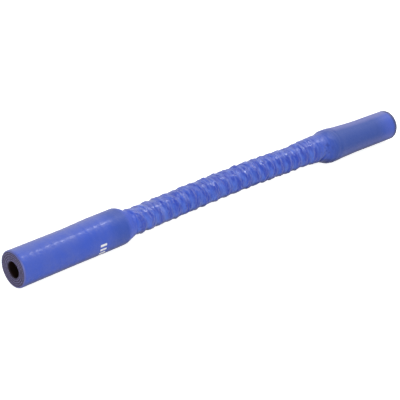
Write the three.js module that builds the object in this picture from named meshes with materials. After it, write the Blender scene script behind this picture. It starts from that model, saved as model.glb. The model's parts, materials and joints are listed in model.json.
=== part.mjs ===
// A short silicone hose for an engine bay: one moulded piece with a smooth, thick cuff at each end,
// a thinner flexible middle with a ridge wound round it as a helix, and one bore right through.
// Millimetres. +X runs from the near cuff to the far cuff, +Z is up, and the hose lies on z = 0.
import * as THREE from 'three';

// Lengths along the hose, from the cut end of the near cuff to the cut end of the far cuff
const HOSE_LENGTH = 330;
const NEAR_CUFF_LENGTH = 75.5;
const FAR_CUFF_LENGTH = 64;
const SHOULDER_LENGTH = 10;

// Section: the bore, and the wall round it at the two cut ends and on the crests of the ridge
const BORE_DIAMETER = 10;
const NEAR_CUFF_WALL = 5.95;
const FAR_CUFF_WALL = 5.7;
const MIDDLE_WALL = 3.45;

// Each cuff swells before its shoulder, where the plies of the middle run in under its own:
// it takes this wall over the reach beside the shoulder, and loses it again over the slope
const SWOLLEN_WALL = 6.55;
const NEAR_SWELL_REACH = 14;
const NEAR_SWELL_SLOPE = 26;
const FAR_SWELL_REACH = 4;
const FAR_SWELL_SLOPE = 28;

// The middle gains some wall over its last stretch before the far shoulder
const BUILD_UP = 0.8;
const BUILD_UP_LENGTH = 26;

// The ridge: a right-handed helix with round crests and narrower grooves, dying out at the shoulders
const RIDGE_PITCH = 8.25;
const GROOVE_DEPTH = 0.8;
const GROOVE_FADE = 7;
const CREST_OFFSET = 7.6;

// The ridge is wound by hand, so its crests drift along the hose in a long and a short wave
const LONG_DRIFT = 2.8;
const LONG_DRIFT_WAVE = 170;
const LONG_DRIFT_LAG = 80;
const SHORT_DRIFT = 1.4;
const SHORT_DRIFT_WAVE = 85;
const SHORT_DRIFT_LAG = 32;

// The hose lies on its cuffs with a slight bend in the flat, which starts this far past the near cuff
const BEND_OFFSET = 85;
const BEND_LENGTH = 56;
const BEND_ANGLE = THREE.MathUtils.degToRad(4);

// Fineness of the solid
const SIDES = 28;
const RINGS_PER_TURN = 6;
const SHOULDER_RINGS = 5;
const SWELL_RINGS = 4;
const BORE_RINGS = 12;

// Places along the hose that follow from the lengths
const BORE_RADIUS = BORE_DIAMETER / 2;
const MIDDLE_START = NEAR_CUFF_LENGTH + SHOULDER_LENGTH;
const FAR_CUFF_START = HOSE_LENGTH - FAR_CUFF_LENGTH;
const MIDDLE_END = FAR_CUFF_START - SHOULDER_LENGTH;
const NEAR_SWELL_FULL = NEAR_CUFF_LENGTH - NEAR_SWELL_REACH;
const NEAR_SWELL_START = NEAR_SWELL_FULL - NEAR_SWELL_SLOPE;
const FAR_SWELL_FULL = FAR_CUFF_START + FAR_SWELL_REACH;
const FAR_SWELL_END = FAR_SWELL_FULL + FAR_SWELL_SLOPE;
const BEND_START = NEAR_CUFF_LENGTH + BEND_OFFSET;

const rise = THREE.MathUtils.smoothstep;

// How much of the section at this place is cuff: 1 on both cuffs, 0 on the middle
function cuffShare(along) {
  return 1 - rise(along, NEAR_CUFF_LENGTH, MIDDLE_START) + rise(along, MIDDLE_END, FAR_CUFF_START);
}

// Wall of the cuff on this half of the hose, plain at its cut end and swollen beside its shoulder
function cuffWall(along) {
  const onNearHalf = along < BEND_START;
  const plain = onNearHalf ? NEAR_CUFF_WALL : FAR_CUFF_WALL;
  const swollen = onNearHalf
    ? rise(along, NEAR_SWELL_START, NEAR_SWELL_FULL)
    : 1 - rise(along, FAR_SWELL_FULL, FAR_SWELL_END);
  return THREE.MathUtils.lerp(plain, SWOLLEN_WALL, swollen);
}

// Wall of the middle, measured to its crests
function middleWall(along) {
  return MIDDLE_WALL + BUILD_UP * rise(along, MIDDLE_END - BUILD_UP_LENGTH, MIDDLE_END);
}

function outerRadius(along) {
  return BORE_RADIUS + THREE.MathUtils.lerp(middleWall(along), cuffWall(along), cuffShare(along));
}

// Distance that the crests are pushed along the hose by the uneven winding
function drift(along) {
  const long = Math.sin(2 * Math.PI * (along - LONG_DRIFT_LAG) / LONG_DRIFT_WAVE);
  const short = Math.sin(2 * Math.PI * (along - SHORT_DRIFT_LAG) / SHORT_DRIFT_WAVE);
  return LONG_DRIFT * long + SHORT_DRIFT * short;
}

// Depth of the groove under the crest line, at a place along the hose and an angle round it.
// The angle grows from the +Y side towards the top, and the crest moves one pitch along per turn.
function grooveDepth(along, angle) {
  const turns = (along - MIDDLE_START - CREST_OFFSET + drift(along)) / RIDGE_PITCH;
  const fromCrest = 0.5 - 0.5 * Math.cos(2 * Math.PI * turns - angle);
  const nearFade = rise(along, MIDDLE_START - GROOVE_FADE / 2, MIDDLE_START + GROOVE_FADE / 2);
  const farFade = 1 - rise(along, MIDDLE_END - GROOVE_FADE / 2, MIDDLE_END + GROOVE_FADE / 2);
  return GROOVE_DEPTH * nearFade * farFade * fromCrest ** 2;
}

// Evenly spaced places from one to another, without the last
function places(from, to, count) {
  return Array.from({ length: count }, (_, i) => from + (to - from) * i / count);
}

// Places of the rings of the outer skin, closer together where its form changes
function skinPlaces() {
  const middleRings = Math.ceil((MIDDLE_END - MIDDLE_START) / RIDGE_PITCH * RINGS_PER_TURN);
  return [
    0,
    ...places(NEAR_SWELL_START, NEAR_SWELL_FULL, SWELL_RINGS),
    NEAR_SWELL_FULL,
    ...places(NEAR_CUFF_LENGTH, MIDDLE_START, SHOULDER_RINGS),
    ...places(MIDDLE_START, MIDDLE_END, middleRings),
    ...places(MIDDLE_END, FAR_CUFF_START, SHOULDER_RINGS),
    FAR_CUFF_START,
    ...places(FAR_SWELL_FULL, FAR_SWELL_END, SWELL_RINGS),
    FAR_SWELL_END,
    HOSE_LENGTH,
  ];
}

// The straight hose without its ridge: a closed section turned round the Y axis, from y = 0 up
function straightTube() {
  const skin = skinPlaces().map((along) => new THREE.Vector2(outerRadius(along), along));
  const borePlaces = [...places(HOSE_LENGTH, 0, BORE_RINGS), 0];
  const bore = borePlaces.map((along) => new THREE.Vector2(BORE_RADIUS, along));
  const section = [...skin, ...bore, skin[0]].reverse();
  return new THREE.LatheGeometry(section, SIDES, Math.PI / SIDES);
}

// Point on the hose's centreline and its heading in the flat, for a hose that starts out along +X
function centreline(along) {
  const arcRadius = BEND_LENGTH / BEND_ANGLE;
  const before = Math.min(along, BEND_START);
  const turned = BEND_ANGLE * THREE.MathUtils.clamp((along - BEND_START) / BEND_LENGTH, 0, 1);
  const after = Math.max(along - BEND_START - BEND_LENGTH, 0);
  return {
    x: before + arcRadius * Math.sin(turned) + after * Math.cos(turned),
    y: -arcRadius * (1 - Math.cos(turned)) - after * Math.sin(turned),
    heading: -turned,
  };
}

// Presses the grooves into the outer skin and lays the tube along its centreline
function layAlongCentreline(tube) {
  const corners = tube.getAttribute('position');
  const corner = new THREE.Vector3();
  for (let i = 0; i < corners.count; i += 1) {
    corner.fromBufferAttribute(corners, i);
    const along = corner.y;
    const angle = Math.atan2(corner.z, corner.x);
    const flatRadius = Math.hypot(corner.x, corner.z);
    const onSkin = flatRadius > BORE_RADIUS + MIDDLE_WALL / 2;
    const radius = flatRadius - (onSkin ? grooveDepth(along, angle) : 0);
    const centre = centreline(along);
    const sideways = radius * Math.cos(angle);
    corner.x = centre.x - sideways * Math.sin(centre.heading);
    corner.y = centre.y + sideways * Math.cos(centre.heading);
    corner.z = radius * Math.sin(angle);
    corners.setXYZ(i, corner.x, corner.y, corner.z);
  }
  return tube;
}

// Turns the hose so that its two ends lie in line along X, and sets it down round the origin
function setDown(tube) {
  const end = centreline(HOSE_LENGTH);
  tube.rotateZ(-Math.atan2(end.y, end.x));
  tube.computeBoundingBox();
  const middle = tube.boundingBox.getCenter(new THREE.Vector3());
  return tube.translate(-middle.x, -middle.y, -tube.boundingBox.min.z);
}

const silicone = new THREE.MeshStandardMaterial({ color: 0x4b60c4, roughness: 0.5, metalness: 0 });

const hose = new THREE.Mesh(setDown(layAlongCentreline(straightTube())), silicone);
hose.name = 'hose';
hose.geometry.computeVertexNormals();

const model = new THREE.Group();
model.add(hose);

export default model;
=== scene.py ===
"""A blue silicone hose for an engine bay, lying on a pale studio floor.

Metres. +X runs from the near cuff to the far cuff and +Z is up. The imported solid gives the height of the
hose's axis and where its near end lies; its form follows from the sizes of the hose itself.
"""

import json
import math
import bpy
from mathutils import Matrix, Vector


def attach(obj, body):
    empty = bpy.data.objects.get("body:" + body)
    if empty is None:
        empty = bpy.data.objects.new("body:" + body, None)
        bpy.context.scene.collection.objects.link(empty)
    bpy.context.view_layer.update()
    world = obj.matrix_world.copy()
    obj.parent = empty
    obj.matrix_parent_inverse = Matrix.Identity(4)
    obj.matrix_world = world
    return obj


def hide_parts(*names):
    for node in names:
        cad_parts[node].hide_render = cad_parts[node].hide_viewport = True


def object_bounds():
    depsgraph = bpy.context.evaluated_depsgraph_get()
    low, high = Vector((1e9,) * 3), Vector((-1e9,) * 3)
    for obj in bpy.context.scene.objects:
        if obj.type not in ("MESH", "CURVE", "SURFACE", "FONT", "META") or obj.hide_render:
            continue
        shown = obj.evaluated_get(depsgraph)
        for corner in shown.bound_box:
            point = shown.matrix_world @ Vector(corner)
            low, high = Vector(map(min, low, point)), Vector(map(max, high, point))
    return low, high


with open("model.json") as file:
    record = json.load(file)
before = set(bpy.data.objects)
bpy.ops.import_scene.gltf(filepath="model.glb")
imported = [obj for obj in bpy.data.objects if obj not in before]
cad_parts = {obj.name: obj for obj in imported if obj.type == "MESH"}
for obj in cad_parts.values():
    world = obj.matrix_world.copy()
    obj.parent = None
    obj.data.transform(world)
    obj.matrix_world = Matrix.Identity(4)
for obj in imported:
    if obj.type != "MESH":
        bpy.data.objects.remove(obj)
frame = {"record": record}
cad_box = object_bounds()
axis_height = (cad_box[0].z + cad_box[1].z) / 2


# The camera stands before the near end and looks down along the hose through a long lens,
# so that the near cuff reads larger than the far one.
CAMERA_BEARING = math.radians(43.264)
CAMERA_FALL = math.radians(24.452)
CAMERA_DISTANCE = 0.68301
CAMERA_AIM = Vector((-0.0263, -0.0044, 0.01135))
LENS_MM = 97.9
SENSOR_MM = 36

towards_camera = Vector((
    -math.sin(CAMERA_BEARING) * math.cos(CAMERA_FALL),
    -math.cos(CAMERA_BEARING) * math.cos(CAMERA_FALL),
    math.sin(CAMERA_FALL),
))
camera = bpy.data.objects.new("camera", bpy.data.cameras.new("camera"))
camera.data.lens = LENS_MM
camera.data.sensor_width = SENSOR_MM
camera.location = CAMERA_AIM + towards_camera * CAMERA_DISTANCE
camera.rotation_euler = towards_camera.to_track_quat("Z", "Y").to_euler()
bpy.context.scene.collection.objects.link(camera)
bpy.context.scene.camera = camera


# The hose: one piece of silicone-coated cloth, laid up on a mandrel, bound with tape and cured.
# The thin middle is bound round with a cord, which leaves a helical ridge, and more plies build up a smooth,
# thick cuff at each end. Both ends are cut off square.
TURN = 2 * math.pi
HOSE_LENGTH = 0.330
NEAR_CUFF_LENGTH = 0.0755

BEND_OFFSET = 0.085
BEND_LENGTH = 0.056
BEND_ANGLE = math.radians(4)
PATH_STEPS = 33

# Fineness of the mesh. The rings stand closer along the middle by this share, and wider on the cuffs.
SKIN_RINGS = 800
CROWDING = 0.3
EDGE_RINGS = 4
FACE_RINGS = 9
BORE_RINGS = 36
SIDES = 112
MERGE_DISTANCE = 1e-6
JUST_INSIDE = 0.001
SHARP_ANGLE = math.radians(50)

# Seeds of the random patterns, with the size of their grains: for crests and grooves in turns of the ridge,
# and for creases in metres along the hose and in grains to a radian round it
CREST_SEED = 0.0
CREST_GRAIN = 0.4
GROOVE_SEED = 9.0
GROOVE_GRAIN = 0.5
CREASE_SEED = 7.0
CREASE_LENGTH = 0.0016
CREASES_AROUND = 2.5

hose_sizes = {
    # Length, and the section at the bore and the two cut ends
    "Length": HOSE_LENGTH,
    "Near cuff": NEAR_CUFF_LENGTH,
    "Far cuff": 0.064,
    "Shoulder": 0.010,
    "Bore radius": 0.005,
    "Bore shift": 0.0004,
    "Bore shift reach": 0.040,
    "Edge round": 0.0008,
    "Near wall": 0.00612,
    "Far wall": 0.0058,
    "Far rise": 0.0004,
    "Far rise reach": 0.035,
    "Middle wall": 0.0035,
    # The cuffs swell before their shoulders, which slant, and a low bead stands on the far one
    "Swollen wall": 0.00655,
    "Near swell reach": 0.014,
    "Near swell slope": 0.026,
    "Near swell rise": 0.0003,
    "Far swell reach": 0.004,
    "Far swell slope": 0.028,
    "Near shoulder lead": 0.001,
    "Near shoulder trim": 0.0003,
    "Near shoulder slant": 0.0012,
    "Far shoulder lag": 0.001,
    "Far shoulder trim": 0.0015,
    "Far shoulder slant": 0.0040,
    "Far slant kept": 0.6,
    "Far bead": 0.0004,
    "Bead lead": 0.010,
    "Bead full": 0.003,
    "Bead fade": 0.001,
    "Bead end": 0.007,
    # The middle sags where it starts, and gains wall and lifts before the far cuff
    "Build-up": 0.0010,
    "Build-up length": 0.026,
    "Sag": 0.00036,
    "Sag reach": 0.030,
    "Sag end": 0.046,
    "Lift before far cuff": 0.0009,
    "Lift lead": 0.030,
    "Lift full": 0.014,
    # The ridge, wound by hand
    "Pitch": 0.00825,
    "Groove depth": 0.00055,
    "Groove sharpness": 1.4,
    "Groove share": 0.85,
    "Groove unevenness": 2.4,
    "Crest unevenness": 0.0008,
    "Crest offset": 0.0076,
    "Long drift": 0.0028,
    "Long drift wave": 0.170,
    "Long drift lag": 0.080,
    "Short drift": 0.0014,
    "Short drift wave": 0.085,
    "Short drift lag": 0.032,
    "Ridge lead": 0.00525,
    "Ridge full": 0.00105,
    "Ridge fade": 0.014,
    "Ridge end": 0.0035,
    # Wrinkles and creases, which run on a little way over the far shoulder
    "Wrinkle depth": 0.0019,
    "Wrinkle length": 0.0021,
    "Wrinkles around": 1.4,
    "Wrinkle loss in grooves": 0.4,
    "Wrinkle lead": 0.018,
    "Wrinkle full": 0.008,
    "Wrinkle end": 0.004,
    "Wrinkle share on far shoulder": 0.5,
    "Crease depth": 0.0013,
    "Crease level": 0.08,
    "Crease length": CREASE_LENGTH,
    "Creases around": CREASES_AROUND,
    # The fold in the foot of the far shoulder, with its place, angle and slope along the hose
    "Fold depth": 0.0012,
    "Fold place": 0.2536,
    "Fold half width": 0.0020,
    "Fold angle": 3.6,
    "Fold reach": 0.5,
    "Fold slope": 0.004,
    # What the curing tape leaves on the cuffs
    "Tape width": 0.0056,
    "Tape edge depth": 0.00005,
    "Tape edge loss on far cuff": 0.7,
    "Lap unevenness": 1.2,
    "Tape mark depth": 0.00006,
    "Tape mark length": 0.0024,
    "Tape marks around": 1.5,
}


def centreline(along):
    """Point on the hose's centreline for a hose that starts out along +X, with a slight bend half way."""
    bend_start = NEAR_CUFF_LENGTH + BEND_OFFSET
    arc_radius = BEND_LENGTH / BEND_ANGLE
    before = min(along, bend_start)
    turned = BEND_ANGLE * min(max((along - bend_start) / BEND_LENGTH, 0), 1)
    after = max(along - bend_start - BEND_LENGTH, 0)
    x = before + arc_radius * math.sin(turned) + after * math.cos(turned)
    y = -arc_radius * (1 - math.cos(turned)) - after * math.sin(turned)
    return Vector((x, y, 0))


near_end = next(m for m in frame["record"]["mounts"] if m["name"] == "near_end")
near_centre = Vector((near_end["pos_m"][0], near_end["pos_m"][1], axis_height))
out_of_near_end = Vector(near_end["axis"])
heading = math.atan2(-out_of_near_end.y, -out_of_near_end.x)
laid_down = Matrix.Translation(near_centre) @ Matrix.Rotation(heading, 4, "Z")
path = [laid_down @ centreline(HOSE_LENGTH * i / PATH_STEPS) for i in range(PATH_STEPS + 1)]


class Field:
    """A socket in a node tree, on which arithmetic adds Math nodes."""

    def __init__(self, tree, socket=None):
        self.tree = tree
        self.socket = socket

    def node(self, kind, settings=None, inputs=None, output=0):
        """Adds a node: its settings first, then a value or a link for each socket, by identifier or number."""
        made = self.tree.nodes.new(kind)
        for name, value in (settings or {}).items():
            setattr(made, name, value)
        sockets = {**dict(enumerate(made.inputs)), **{s.identifier: s for s in made.inputs}}
        for name, value in (inputs or {}).items():
            if isinstance(value, Field):
                self.tree.links.new(value.socket, sockets[name])
            else:
                sockets[name].default_value = value
        outputs = {**dict(enumerate(made.outputs)), **{s.identifier: s for s in made.outputs}}
        return Field(self.tree, outputs[output]) if outputs else None

    def also(self, output):
        """Another output of the same node."""
        return Field(self.tree, self.socket.node.outputs[output])

    def maths(self, operation, *values):
        return self.node("ShaderNodeMath", {"operation": operation}, dict(enumerate((self, *values))))

    def __add__(self, other):
        return self.maths("ADD", other)

    __radd__ = __add__

    def __sub__(self, other):
        return self.maths("SUBTRACT", other)

    def __rsub__(self, other):
        return self * -1 + other

    def __mul__(self, other):
        return self.maths("MULTIPLY", other)

    __rmul__ = __mul__

    def __truediv__(self, other):
        return self.maths("DIVIDE", other)

    def __pow__(self, other):
        return self.maths("POWER", other)

    def __abs__(self):
        return self.maths("ABSOLUTE")

    def sin(self):
        return self.maths("SINE")

    def cos(self):
        return self.maths("COSINE")

    def share(self):
        """The value, held between 0 and 1."""
        return self.maths("MAXIMUM", 0.0).maths("MINIMUM", 1.0)

    def rise(self, start, end):
        """0 before start, 1 after end, and smooth in between."""
        return self.node(
            "ShaderNodeMapRange",
            {"interpolation_type": "SMOOTHSTEP"},
            {"Value": self, "From Min": start, "From Max": end, "To Min": 0.0, "To Max": 1.0},
        )

    def within(self, start, full, fade, end):
        """0 before start and after end, 1 from full to fade, and smooth in between."""
        return self.rise(start, full) * (1 - self.rise(fade, end))

    def towards(self, other, amount):
        """The value, moved by this amount of the way towards another."""
        return self + (other - self) * amount

    def vector(self, x, y, z):
        return self.node("ShaderNodeCombineXYZ", inputs={0: x, 1: y, 2: z})

    def on_skin(self, along, angle, length, around, seed=0.0):
        """A place on the skin for noise with grains of this length, without a seam where the angle wraps."""
        return self.vector(along / length, angle.cos() * around + seed, angle.sin() * around)

    def noise(self, place, size, detail=2.0):
        """Soft random values round 0, at a place given as a vector, with grains of this size."""
        made = self.node(
            "ShaderNodeTexNoise", inputs={"Vector": place, "Scale": 1 / size, "Detail": detail}
        )
        return made - 0.5


def hose_rule():
    """The node tree that sweeps the hose's section along its centreline."""
    tree = bpy.data.node_groups.new("hose rule", "GeometryNodeTree")
    tree.interface.new_socket("Centreline", in_out="INPUT", socket_type="NodeSocketGeometry")
    for name in hose_sizes:
        tree.interface.new_socket(name, in_out="INPUT", socket_type="NodeSocketFloat")
    for name in ("Skin", "Cut face", "Bore wall"):
        tree.interface.new_socket(name, in_out="INPUT", socket_type="NodeSocketMaterial")
    tree.interface.new_socket("Hose", in_out="OUTPUT", socket_type="NodeSocketGeometry")
    given = Field(tree).node("NodeGroupInput")
    size = {socket.name: Field(tree, socket) for socket in given.socket.node.outputs}

    # A grid becomes the skin: one way it runs along the skin, over the far cut end, back through the bore
    # and over the near cut end, and the other way it runs round the hose
    rings = SKIN_RINGS + 2 * EDGE_RINGS + 2 * FACE_RINGS + BORE_RINGS
    grid = given.node(
        "GeometryNodeMeshGrid",
        inputs={"Size X": rings, "Size Y": SIDES, "Vertices X": rings + 1, "Vertices Y": SIDES + 1},
    )
    place = given.node("ShaderNodeSeparateXYZ", inputs={0: given.node("GeometryNodeInputPosition")})
    ring = (place + rings / 2).maths("ROUND")
    side = (place.also("Y") + SIDES / 2).maths("ROUND")
    angle = side * (TURN / SIDES)

    def stretch(first, count):
        """How far this ring is through a stretch of rings, from 0 to 1."""
        return ((ring - first) / count).share()

    far_edge = SKIN_RINGS
    far_face = far_edge + EDGE_RINGS
    bore = far_face + FACE_RINGS
    near_face = bore + BORE_RINGS
    near_edge = near_face + FACE_RINGS
    far_turn = stretch(far_edge, EDGE_RINGS) * (math.pi / 2)
    near_turn = stretch(near_edge, EDGE_RINGS) * (math.pi / 2)
    rounding = size["Edge round"]
    through = stretch(0, SKIN_RINGS)
    through = through + (through * TURN).sin() * (CROWDING / TURN)
    along = (
        rounding
        + (size["Length"] - 2 * rounding) * through
        + rounding * far_turn.sin()
        - size["Length"] * stretch(bore, BORE_RINGS)
        + rounding * (1 - near_turn.cos())
    )
    edge_cut = rounding * (1 - far_turn.cos() - near_turn.sin())
    inward = stretch(far_face, FACE_RINGS) - stretch(near_face, FACE_RINGS)

    # Wall of the cuffs: plain at the cut ends, and swollen before the shoulders
    underside = 0.5 - angle.sin() * 0.5
    middle_start = size["Near cuff"] + size["Shoulder"]
    far_cuff_start = size["Length"] - size["Far cuff"]
    middle_end = far_cuff_start - size["Shoulder"]
    near_full = size["Near cuff"] - size["Near swell reach"]
    far_full = far_cuff_start + size["Far swell reach"]
    near_swell = along.rise(near_full - size["Near swell slope"], near_full)
    near_swollen = size["Swollen wall"] + size["Near swell rise"] * angle.sin()
    near_wall = size["Near wall"].towards(near_swollen, near_swell)
    far_swell = 1 - along.rise(far_full, far_full + size["Far swell slope"])
    far_rise_share = along.rise(size["Length"] - size["Far rise reach"], size["Length"])
    far_rise = size["Far rise"] * angle.sin() * far_rise_share
    far_wall = size["Far wall"].towards(size["Swollen wall"], far_swell) + far_rise

    # Share of each cuff in the wall, which falls to 0 over its slanting shoulder
    near_slant = size["Near shoulder slant"] * (underside * 2 - 1)
    near_share = 1 - along.rise(
        size["Near cuff"] - size["Near shoulder lead"] * underside,
        middle_start - size["Near shoulder trim"] + near_slant,
    )
    far_slant = size["Far shoulder slant"] * underside
    far_share = along.rise(
        middle_end + size["Far shoulder lag"] - far_slant,
        far_cuff_start - size["Far shoulder trim"] + far_slant * size["Far slant kept"],
    )
    far_bead = size["Far bead"] * along.within(
        far_cuff_start - size["Bead lead"],
        far_cuff_start - size["Bead full"],
        far_full - size["Bead fade"],
        far_full + size["Bead end"],
    )

    # Wall of the middle: thin, sagging where it starts, built up and lifted before the far cuff
    sag_share = 1 - along.rise(middle_start + size["Sag reach"], middle_start + size["Sag end"])
    sag = size["Sag"] * angle.sin() * sag_share
    built_up = size["Build-up"] * along.rise(middle_end - size["Build-up length"], middle_end)
    lift = size["Lift before far cuff"] * angle.sin() * along.within(
        middle_end - size["Lift lead"], middle_end - size["Lift full"], middle_end, far_cuff_start
    )
    middle_wall = size["Middle wall"] + built_up - sag + lift
    wall = middle_wall.towards(near_wall, near_share).towards(far_wall, far_share) + far_bead

    # Ridge: round crests with grooves between them, drifting along the hose as it was wound by hand
    long_drift = ((along - size["Long drift lag"]) * TURN / size["Long drift wave"]).sin()
    short_drift = ((along - size["Short drift lag"]) * TURN / size["Short drift wave"]).sin()
    drift = size["Long drift"] * long_drift + size["Short drift"] * short_drift
    turns = (along - middle_start - size["Crest offset"] + drift) / size["Pitch"] - angle / TURN
    turn = turns.maths("ROUND")
    from_crest = abs(turns - turn) * 2
    in_groove = (0.5 - (from_crest * math.pi).cos() * 0.5) ** size["Groove sharpness"]
    on_middle = along.within(
        middle_start - size["Ridge lead"],
        middle_start + size["Ridge full"],
        middle_end - size["Ridge fade"],
        middle_end - size["Ridge end"],
    )
    groove_wound = (turns + 0.5).maths("ROUND") + angle / TURN
    groove_noise = given.noise(given.vector(groove_wound, GROOVE_SEED, 0.0), GROOVE_GRAIN, 1.0)
    groove_share = (size["Groove share"] + groove_noise * size["Groove unevenness"]).share()
    groove = size["Groove depth"] * in_groove * on_middle * groove_share
    crest_wound = turn + angle / TURN
    crest_noise = given.noise(given.vector(crest_wound, CREST_SEED, 0.0), CREST_GRAIN, 0.0)
    uneven = crest_noise * size["Crest unevenness"] * (1 - in_groove)

    # Wrinkles with creases between them, which run round the middle and on over the far shoulder
    wrinkle_place = given.on_skin(along, angle, size["Wrinkle length"], size["Wrinkles around"])
    crease_place = given.on_skin(along, angle, size["Crease length"], size["Creases around"], CREASE_SEED)
    creases = abs(given.noise(crease_place, 1.0, 1.0)) - size["Crease level"]
    wrinkles = given.noise(wrinkle_place, 1.0) * size["Wrinkle depth"] - creases * size["Crease depth"]
    wrinkled_shoulder = size["Wrinkle share on far shoulder"] * along.within(
        middle_end - size["Wrinkle lead"],
        middle_end - size["Wrinkle full"],
        far_cuff_start,
        far_full + size["Wrinkle end"],
    )
    past_fold = angle - size["Fold angle"]
    off_fold = (along - size["Fold place"] + past_fold * size["Fold slope"]) / size["Fold half width"]
    fold = (1 - abs(off_fold)).share() * (1 - abs(past_fold) / size["Fold reach"]).share()

    # Marks of the curing tape, whose edges lap round the cuffs
    tape_place = given.on_skin(along, angle, size["Tape mark length"], size["Tape marks around"])
    tape_marks = given.noise(tape_place, 1.0) * size["Tape mark depth"]
    lap = along / size["Tape width"] - angle / TURN + given.noise(tape_place, 4.0) * size["Lap unevenness"]
    tape_edges = ((lap * TURN).cos() * 0.5 + 0.5) ** 3 * size["Tape edge depth"]
    on_cuffs = (1 - on_middle) * (1 - far_share * size["Tape edge loss on far cuff"])

    relief = (
        (uneven + wrinkles * (1 - in_groove * size["Wrinkle loss in grooves"])) * on_middle
        + wrinkles * wrinkled_shoulder
        - size["Fold depth"] * fold
        + tape_marks
        + tape_edges * on_cuffs
    )
    outside = size["Bore radius"] + wall - groove + relief - edge_cut
    radius = outside.towards(size["Bore radius"], inward)

    # Every point goes out from the centreline; the soft cuffs lie flat where they meet the surface
    at = given.node(
        "GeometryNodeSampleCurve",
        {"mode": "LENGTH"},
        {"Curves": size["Centreline"], "Length": along},
        "Position",
    )
    up = given.vector(0.0, 0.0, 1.0)
    tangent = at.also("Tangent")
    sideways = given.node("ShaderNodeVectorMath", {"operation": "CROSS_PRODUCT"}, {0: up, 1: tangent})
    sideways = given.node("ShaderNodeVectorMath", {"operation": "NORMALIZE"}, {0: sideways})
    bore_shift = size["Bore shift"] * inward * (1 - along.rise(0.0, size["Bore shift reach"]))
    out_y = radius * angle.cos() - bore_shift
    out_z = radius * angle.sin()
    sideways = given.node("ShaderNodeVectorMath", {"operation": "SCALE"}, {0: sideways, "Scale": out_y})
    point = given.node("ShaderNodeVectorMath", {"operation": "ADD"}, {0: at, 1: sideways})
    point = given.node("ShaderNodeSeparateXYZ", inputs={0: point})
    height = (point.also("Z") + out_z).maths("MAXIMUM", 0.0)

    # The material reads where each point lay before the bend, and where it lies between two crests.
    # The grid's faces look into the wall once it is swept, so they are turned outwards.
    kept = grid
    for name, kind, value in (
        ("straight", "FLOAT_VECTOR", given.vector(along, out_y, out_z)),
        ("winding", "FLOAT_VECTOR", given.vector((turns * TURN).cos(), (turns * TURN).sin(), on_middle)),
        ("inward", "FLOAT", inward),
        ("fold", "FLOAT", fold),
    ):
        kept = given.node(
            "GeometryNodeStoreNamedAttribute",
            {"data_type": kind, "domain": "POINT"},
            {"Geometry": kept, "Name": name, "Value": value},
        )
    swept = given.node(
        "GeometryNodeSetPosition",
        inputs={"Geometry": kept, "Position": given.vector(point, point.also("Y"), height)},
    )
    closed = given.node(
        "GeometryNodeMergeByDistance", inputs={"Geometry": swept, "Distance": MERGE_DISTANCE}
    )
    outwards = given.node("GeometryNodeFlipFaces", inputs={"Mesh": closed})
    smooth = given.node("GeometryNodeSetShadeSmooth", inputs={"Geometry": outwards})
    depth = given.node(
        "GeometryNodeInputNamedAttribute", {"data_type": "FLOAT"}, {"Name": "inward"}, "Attribute"
    )
    dressed = given.node("GeometryNodeRealizeInstances", inputs={"Geometry": smooth})
    for name, least in (("Skin", -1.0), ("Cut face", JUST_INSIDE), ("Bore wall", 1 - JUST_INSIDE)):
        dressed = given.node(
            "GeometryNodeSetMaterial",
            inputs={
                "Geometry": dressed,
                "Selection": depth.maths("GREATER_THAN", least),
                "Material": size[name],
            },
        )
    given.node("NodeGroupOutput", inputs={0: dressed})
    return tree


def blend(below, above, amount):
    """A colour laid over another by this amount, which is a field."""
    return amount.node(
        "ShaderNodeMix",
        {"data_type": "RGBA"},
        {"Factor_Float": amount, "A_Color": below, "B_Color": above},
        "Result_Color",
    )


def bare_material(name):
    """A material without nodes, and the field that adds them."""
    made = bpy.data.materials.new(name)
    made.use_nodes = True
    made.node_tree.nodes.clear()
    return made, Field(made.node_tree)


# Blues of the skin, from the silicone itself and its dusty mottle to the painted light, sheen and shade that
# lie on it
SKIN_BLUE = (0.015, 0.071, 0.515, 1.0)
DUSTY_BLUE = (0.046, 0.092, 0.46, 1.0)
DULL_BLUE = (0.021, 0.064, 0.33, 1.0)
DEEP_STREAK_AND_SHADE_BLUE = (0.007, 0.040, 0.41, 1.0)
GROOVE_PAINTED_LIGHT = (0.060, 0.135, 0.60, 1.0)
PALE_STREAK_AND_CREST_HIGHLIGHT = (0.060, 0.125, 0.56, 1.0)
SHOULDER_BLUE = (0.014, 0.072, 0.58, 1.0)
CREASE_PAINTED_LIGHT_BLUE = (0.040, 0.120, 0.66, 1.0)
PAINTED_SHEEN = (0.135, 0.160, 0.45, 1.0)
DARK_PIT_AND_FOLD_SHADE = (0.008, 0.030, 0.26, 1.0)
UNDERSIDE_PAINTED_SHADE = (0.012, 0.022, 0.14, 1.0)
FAR_RIM_PAINTED_SHADE = (0.014, 0.024, 0.13, 1.0)
NEAR_RIM_PAINTED_HIGHLIGHT = (0.085, 0.095, 0.30, 1.0)
MARK_WHITE = (0.90, 0.90, 0.90, 1.0)

# Sizes of its patterns
MOTTLE_SIZE = 0.012
GRAIN_SIZE = 0.0011
STREAK_LENGTH = 0.0022
STREAKS_AROUND = 1.6
PIT_SIZE = 0.0024
THREAD_PITCH = 0.0009
THREADS_AROUND = 64

# Their strength: how sharply mottle and streaks stand out, and the noise at which creases and pits show
MOTTLE_CONTRAST = 2.5
STREAK_CONTRAST = 4
CREASE_WIDTH = 0.03
PITTED = (0.08, 0.16)

# The satin skin under them
SKIN_ROUGHNESS = 0.46
SKIN_GLOSS = 0.24
GLOSS_ROUGHNESS = 0.21
SHEEN = 0.15
SHEEN_ROUGHNESS = 0.4
RELIEF_STRENGTH = 0.5
RELIEF_DEPTH = 0.0003

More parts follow.
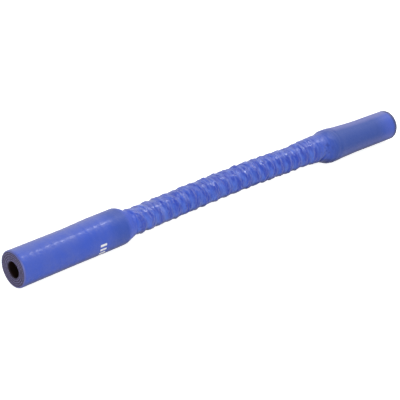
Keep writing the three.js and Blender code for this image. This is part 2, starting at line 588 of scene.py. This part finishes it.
# Where they lie along the hose: where each starts, is full, fades and ends, or only starts and is full
DULL_NEAR = (0.058, 0.070, 0.074, 0.082)
DULL_FAR = (0.253, 0.270, 0.308, 0.324)
NEAR_SHOULDER = (0.0745, 0.0790, 0.083, 0.0875)
FAR_SHOULDER = (0.248, 0.252, 0.259, 0.264)
FAR_HALF = (0.150, 0.200)
FAR_CUFF = (0.262, 0.275)
NEAR_RIM = (0.0001, 0.0013)
FAR_RIM = (0.3260, 0.3285)
LESS_GLOSS_ON_NEAR_CUFF = (0.060, 0.070, 0.076, 0.084)
LESS_GLOSS_ON_MIDDLE = (0.100, 0.130)
LESS_GLOSS_ON_FAR_CUFF = (0.244, 0.262)
ROUGH_FAR_CUFF = (0.260, 0.268)

# Where they lie round it, in radians from the back towards the top
FAR_BACK = (0.3, 1.0, 1.6, 2.0)
WHOLE_BACK = (0.3, 1.0, 1.3, 1.65)
PITTED_FROM = (2.2, 2.5)

# Where they start and are full, as a share of the radius up, down, to the front or to the back
TOP = (0.5, 0.95)
FRONT = (0.55, 1.0)
UPPER_FRONT = (-0.4, 0.1)
TWISTED_PAINTED_LIGHT = (0.2, 0.8)
LOW = (0.1, 0.6)
FOOT = (-0.15, 0.4)
SHADE = (0.3, 0.75)
SHOULDER_BACK = (-0.1, 0.7)

# Where the painted light lies between two crests, in turns, and how far it is twisted back at the top
PAINTED_LIGHT_PLACE = 0.57
PAINTED_LIGHT_TWIST = 0.2

# Plain white setting marks, a short row of bars round the near cuff
MARK_START = 0.0535
MARK_LENGTH = 0.0046
MARK_FIRST_ANGLE = math.radians(-181)
MARK_LAST_ANGLE = math.radians(-125)
MARKS_AROUND = 24
MARK_SHARE = 0.5


def silicone_skin():
    """Blue silicone with a satin skin, marked all over by the woven tape that it was cured in."""
    made, paint = bare_material("silicone skin")
    straight = paint.node("ShaderNodeAttribute", {"attribute_name": "straight"}, output="Vector")
    winding = paint.node("ShaderNodeAttribute", {"attribute_name": "winding"}, output="Vector")
    fold = paint.node("ShaderNodeAttribute", {"attribute_name": "fold"}, output="Fac")
    along = paint.node("ShaderNodeSeparateXYZ", inputs={0: straight})
    angle = along.also("Z").maths("ARCTAN2", along.also("Y"))
    height = angle.sin()
    to_back = angle.cos()
    to_front = to_back * -1
    down = height * -1
    winding = paint.node("ShaderNodeSeparateXYZ", inputs={0: winding})
    on_middle = winding.also("Z")
    in_groove = (0.5 - winding * 0.5) * on_middle
    on_crest = (0.5 + winding * 0.5) * on_middle

    topside = height.rise(*TOP)
    near_side = to_front.rise(*FRONT) * (1 - height.rise(*UPPER_FRONT) * 0.4) * on_middle
    painted_light_turn = (PAINTED_LIGHT_PLACE - height.rise(*TWISTED_PAINTED_LIGHT) * PAINTED_LIGHT_TWIST) * TURN
    painted_light_phase = 0.5 + (winding * painted_light_turn.cos() + winding.also("Y") * painted_light_turn.sin()) * 0.5
    mottle = (paint.noise(straight, MOTTLE_SIZE, 3.0) * MOTTLE_CONTRAST + 0.5).share()
    grain = paint.noise(straight, GRAIN_SIZE)
    streaks = paint.noise(paint.on_skin(along, angle, STREAK_LENGTH, STREAKS_AROUND), 1.0)
    stark_streaks = streaks * STREAK_CONTRAST
    creases = paint.noise(paint.on_skin(along, angle, CREASE_LENGTH, CREASES_AROUND, CREASE_SEED), 1.0, 1.0)
    weave = (along * (TURN / THREAD_PITCH)).sin() * (angle * THREADS_AROUND).sin()

    # The middle of the far cuff and the last of the near one are duller. The ridge is streaked at random, with
    # a painted highlight on the top of its crests and paler blue painted along its creases as painted light.
    # On its front, most of all low down, painted shade darkens the crests and painted light lies pale in the
    # grooves.
    dull = along.within(*DULL_FAR) + along.within(*DULL_NEAR) * 0.6
    painted_shade_in_front = 1.1 + along.rise(*FAR_HALF) * 0.5 - painted_light_phase * 1.8
    streaks_and_painted_shade = (0.45 - stark_streaks) * on_middle + painted_shade_in_front * near_side
    colour = blend(SKIN_BLUE, DUSTY_BLUE, mottle)
    colour = blend(colour, DULL_BLUE, dull.share())
    # painted shade on the front of the crests, with darker streaks at random
    colour = blend(colour, DEEP_STREAK_AND_SHADE_BLUE, streaks_and_painted_shade.share())
    # painted light, pale in the grooves on the front of the ridge
    colour = blend(colour, GROOVE_PAINTED_LIGHT, (painted_light_phase ** 2 * (1.3 + stark_streaks) * near_side).share())
    # painted highlight: paler blue on the top of the crests
    colour = blend(colour, PALE_STREAK_AND_CREST_HIGHLIGHT, (on_crest ** 2 * (0.4 + stark_streaks) * topside).share())
    # painted light: paler blue along the creases of the ridge, where their flanks lie in shade
    colour = blend(colour, CREASE_PAINTED_LIGHT_BLUE, (1 - abs(creases) / CREASE_WIDTH).share() * on_middle * 0.5)

    # The near shoulder is a stronger blue, but not at the back. The far one is streaked, with a few dark pits
    # and a fold, which is darkened with painted shade.
    near_shoulder = along.within(*NEAR_SHOULDER) * (1 - to_back.rise(*SHOULDER_BACK) * 0.8)
    far_shoulder = along.within(*FAR_SHOULDER)
    pits = paint.noise(straight, PIT_SIZE, 0.0).rise(*PITTED) * far_shoulder * angle.rise(*PITTED_FROM)
    # Painted sheen, whitish, on the upper back of the cuffs and more on the far cuff, whose foot also takes a
    # painted reflection of the floor
    back_painted_sheen = angle.within(*WHOLE_BACK) * (0.45 - on_middle * 0.45)
    far_painted_sheen = along.rise(*FAR_CUFF) * (angle.within(*FAR_BACK) + down.rise(*FOOT) * 0.45)
    colour = blend(colour, SHOULDER_BLUE, near_shoulder)
    # painted sheen and painted reflection
    colour = blend(colour, PAINTED_SHEEN, far_painted_sheen.share())
    colour = blend(colour, PAINTED_SHEEN, back_painted_sheen)
    colour = blend(colour, PALE_STREAK_AND_CREST_HIGHLIGHT, stark_streaks.share() * far_shoulder * 0.7)
    # dark pits, and painted shade in the fold
    colour = blend(colour, DARK_PIT_AND_FOLD_SHADE, (pits * 0.55 + fold).share())

    # Painted shade darkens the underside and the far cut edge, and a painted highlight lightens the near cut
    # edge
    colour = blend(colour, UNDERSIDE_PAINTED_SHADE, down.rise(*SHADE) * 0.85)
    colour = blend(colour, FAR_RIM_PAINTED_SHADE, along.rise(*FAR_RIM))
    colour = blend(colour, NEAR_RIM_PAINTED_HIGHLIGHT, 0.8 - along.rise(*NEAR_RIM) * 0.8)

    bar = (angle * (MARKS_AROUND / TURN)).maths("FRACT").maths("LESS_THAN", MARK_SHARE)
    row = angle.maths("GREATER_THAN", MARK_FIRST_ANGLE) * angle.maths("LESS_THAN", MARK_LAST_ANGLE)
    reach = along.maths("GREATER_THAN", MARK_START) * along.maths("LESS_THAN", MARK_START + MARK_LENGTH)
    colour = blend(colour, MARK_WHITE, bar * row * reach)

    # The skin is rougher low down and on the far cuff. The ridge is glossy in streaks, least in its grooves.
    low = down.rise(*LOW)
    roughness = SKIN_ROUGHNESS + grain * 0.3 + dull * 0.08 + along.rise(*ROUGH_FAR_CUFF) * 0.08 + low * 0.1
    gloss_on_middle = (streaks + 0.5 - along.rise(*LESS_GLOSS_ON_MIDDLE) * 0.3) * on_middle - in_groove * 0.4
    gloss = (
        SKIN_GLOSS
        + gloss_on_middle
        - near_shoulder * 0.3
        - dull * 0.2
        - along.rise(*LESS_GLOSS_ON_FAR_CUFF) * 0.2
        - low * 0.3
        - along.within(*LESS_GLOSS_ON_NEAR_CUFF) * 0.16
    )
    skin_relief = grain + weave * 0.15 + streaks * on_middle
    bump = paint.node(
        "ShaderNodeBump",
        inputs={"Height": skin_relief, "Strength": RELIEF_STRENGTH, "Distance": RELIEF_DEPTH},
    )
    surface = paint.node(
        "ShaderNodeBsdfPrincipled",
        inputs={
            "Base Color": colour,
            "Roughness": roughness,
            "Coat Weight": gloss.share(),
            "Coat Roughness": GLOSS_ROUGHNESS,
            "Sheen Weight": SHEEN,
            "Sheen Roughness": SHEEN_ROUGHNESS,
            "Normal": bump,
        },
    )
    paint.node("ShaderNodeOutputMaterial", inputs={"Surface": surface})
    return made


CUT_GREY = (0.020, 0.014, 0.056, 1.0)
PLY_GREY = (0.20, 0.18, 0.38, 1.0)
PLY_PITCH = 0.0013
PLY_WAVE = 0.003
PLY_EDGE = (0.62, 0.95)
CUT_GRAIN = 0.0009
CUT_ROUGHNESS = 0.62
CUT_STRENGTH = 0.6
CUT_DEPTH = 0.0002


def cut_face():
    """The cut through the wall: dark compound with the paler edges of the rolled-up plies of cloth."""
    made, paint = bare_material("cut face")
    straight = paint.node("ShaderNodeAttribute", {"attribute_name": "straight"}, output="Vector")
    place = paint.node("ShaderNodeSeparateXYZ", inputs={0: straight})
    radius = (place.also("Y") ** 2 + place.also("Z") ** 2) ** 0.5
    angle = place.also("Z").maths("ARCTAN2", place.also("Y"))
    wound = radius / PLY_PITCH + angle / TURN + paint.noise(straight, PLY_WAVE) * 0.25
    ply_edge = (wound.maths("PINGPONG", 0.5) * 2).rise(*PLY_EDGE)
    grain = paint.noise(straight, CUT_GRAIN, 3.0)
    colour = blend(CUT_GREY, PLY_GREY, (ply_edge * 0.7 + grain * 2).share())
    bump = paint.node(
        "ShaderNodeBump",
        inputs={"Height": ply_edge * 0.5 + grain, "Strength": CUT_STRENGTH, "Distance": CUT_DEPTH},
    )
    surface = paint.node(
        "ShaderNodeBsdfPrincipled",
        inputs={"Base Color": colour, "Roughness": CUT_ROUGHNESS + grain * 0.3, "Normal": bump},
    )
    paint.node("ShaderNodeOutputMaterial", inputs={"Surface": surface})
    return made


BORE_BLACK = (0.001, 0.001, 0.001, 1.0)
BORE_BROWN = (0.009, 0.003, 0.002, 1.0)
BORE_MOUTH_GREY = (0.035, 0.024, 0.034, 1.0)
BORE_MOTTLE = 0.006
BORE_MOUTH_DEPTH = 0.0016
BORE_ROUGHNESS = 0.7
BORE_SPECULAR = 0.06


def bore_wall():
    """The bore wall: near black with a brown mottle, smooth from the mandrel, and greyer at its mouth."""
    made, paint = bare_material("bore wall")
    straight = paint.node("ShaderNodeAttribute", {"attribute_name": "straight"}, output="Vector")
    along = paint.node("ShaderNodeSeparateXYZ", inputs={0: straight})
    mottle = (paint.noise(straight, BORE_MOTTLE) * 2 + 0.5).share()
    colour = blend(BORE_BLACK, BORE_BROWN, mottle)
    colour = blend(colour, BORE_MOUTH_GREY, 1 - along.rise(0.0, BORE_MOUTH_DEPTH))
    surface = paint.node(
        "ShaderNodeBsdfPrincipled",
        inputs={
            "Base Color": colour,
            "Roughness": BORE_ROUGHNESS + mottle * 0.1,
            "Specular IOR Level": BORE_SPECULAR,
        },
    )
    paint.node("ShaderNodeOutputMaterial", inputs={"Surface": surface})
    return made


line = bpy.data.curves.new("centreline", "CURVE")
line.dimensions = "3D"
spline = line.splines.new("POLY")
spline.points.add(len(path) - 1)
for point, place in zip(spline.points, path):
    point.co = (*place, 1)
swept = bpy.data.objects.new("centreline", line)
bpy.context.scene.collection.objects.link(swept)
rule = hose_rule()
modifier = swept.modifiers.new("hose rule", "NODES")
modifier.node_group = rule
values = {**hose_sizes, "Skin": silicone_skin(), "Cut face": cut_face(), "Bore wall": bore_wall()}
for socket in rule.interface.items_tree:
    if socket.name in values:
        modifier[socket.identifier] = values[socket.name]
graph = bpy.context.evaluated_depsgraph_get()
mesh = bpy.data.meshes.new_from_object(
    swept.evaluated_get(graph), preserve_all_data_layers=True, depsgraph=graph
)
bpy.data.objects.remove(swept)
mesh.name = "silicone_hose"
mesh.set_sharp_from_angle(angle=SHARP_ANGLE)
hose = bpy.data.objects.new("silicone_hose", mesh)
bpy.context.scene.collection.objects.link(hose)

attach(hose, "root")
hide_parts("hose")


# The stage: a plain pale floor and soft studio light. The floor shows white to the camera and keeps the
# hose's shadow, and throws little light back up at it.
FLOOR_SIZE = 8
FLOOR_GREY = (0.65, 0.65, 0.65, 1.0)
FLOOR_GLOW = 0.86
FLOOR_MIRRORED = 0.5
SURROUNDINGS_LIGHT = 0.2
SURROUNDINGS_MIRRORED = 0.75
SURROUNDINGS_WHITE = (1.0, 1.0, 1.0, 1.0)

half = FLOOR_SIZE / 2
floor_corners = [(-half, -half, 0), (half, -half, 0), (half, half, 0), (-half, half, 0)]
floor_mesh = bpy.data.meshes.new("floor")
floor_mesh.from_pydata(floor_corners, [], [(0, 1, 2, 3)])
floor = bpy.data.objects.new("floor", floor_mesh)
bpy.context.scene.collection.objects.link(floor)


def shown(tree, mirrored):
    """1 for what the camera sees straight, this share of it for gloss and glass, and 0 for light."""
    seen = tree.node("ShaderNodeLightPath", output="Is Camera Ray")
    return (seen + (seen.also("Is Glossy Ray") + seen.also("Is Transmission Ray")) * mirrored).share()


floor_paint, paint = bare_material("floor")
matt = paint.node("ShaderNodeBsdfDiffuse", inputs={"Color": FLOOR_GREY})
glow = paint.node("ShaderNodeEmission", inputs={"Strength": shown(paint, FLOOR_MIRRORED) * FLOOR_GLOW})
both = paint.node("ShaderNodeAddShader", inputs={0: matt, 1: glow})
paint.node("ShaderNodeOutputMaterial", inputs={"Surface": both})
floor_mesh.materials.append(floor_paint)

world = bpy.data.worlds.new("surroundings")
world.use_nodes = True
world.node_tree.nodes.clear()
air = Field(world.node_tree)
strength = shown(air, SURROUNDINGS_MIRRORED) * (1 - SURROUNDINGS_LIGHT) + SURROUNDINGS_LIGHT
light = air.node("ShaderNodeBackground", inputs={"Color": SURROUNDINGS_WHITE, "Strength": strength})
air.node("ShaderNodeOutputWorld", inputs={"Surface": light})
bpy.context.scene.world = world


def softbox(name, bearing, height, distance, width, depth, power):
    """An area lamp that looks at the hose, from a bearing (from +Y towards +X) and a height in degrees."""
    lamp = bpy.data.lights.new(name, "AREA")
    lamp.shape = "RECTANGLE"
    lamp.size = width
    lamp.size_y = depth
    lamp.energy = power
    turned, raised = math.radians(bearing), math.radians(height)
    way = Vector((math.sin(turned) * math.cos(raised), math.cos(turned) * math.cos(raised), math.sin(raised)))
    box = bpy.data.objects.new(name, lamp)
    box.location = way * distance
    box.rotation_euler = way.to_track_quat("Z", "Y").to_euler()
    bpy.context.scene.collection.objects.link(box)


softbox("key softbox", bearing=-130, height=18, distance=1.2, width=0.8, depth=0.7, power=10.2)
softbox("far softbox", bearing=110, height=15, distance=1.2, width=0.6, depth=0.6, power=1.6)
softbox("overhead softbox", bearing=15, height=50, distance=1.1, width=1.5, depth=1.0, power=4.8)
softbox("strip light", bearing=101, height=53, distance=1.1, width=0.11, depth=0.42, power=4.8)

bpy.context.scene.view_settings.view_transform = "Standard"
